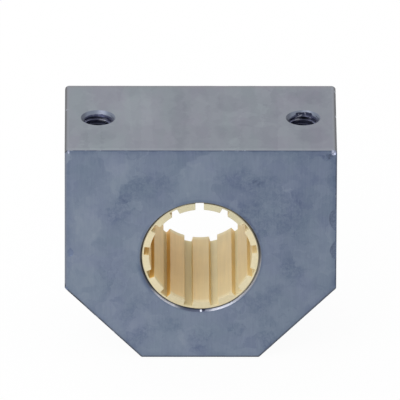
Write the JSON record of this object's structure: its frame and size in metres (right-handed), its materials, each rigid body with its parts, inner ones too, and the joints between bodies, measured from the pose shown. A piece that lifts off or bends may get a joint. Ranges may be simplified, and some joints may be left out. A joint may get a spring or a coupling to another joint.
{
  "type": "linear pillow block bearing",
  "caption": "Compact linear pillow block: a metal block with a chamfered crown, tapped holes in its base face and a slit, grooved polymer liner in its bore that a round shaft slides in.",
  "frame": {"origin": "on the shaft bore's axis, midway between the two end faces", "axes": "+Y along the shaft bore, +Z square to the base face and out of it, so the block lies on its crown with its base face up as in the picture, +X across the block from the left tapped hole to the right one"},
  "size_m": [0.053, 0.029, 0.045],
  "materials": {
    "block_aluminium": "blue-grey anodised, finely machined",
    "liner_polymer": "cream moulded sliding polymer"
  },
  "bodies": {
    "root": {"housing": "block_aluminium", "liner": "liner_polymer"}
  },
  "joints": []
}
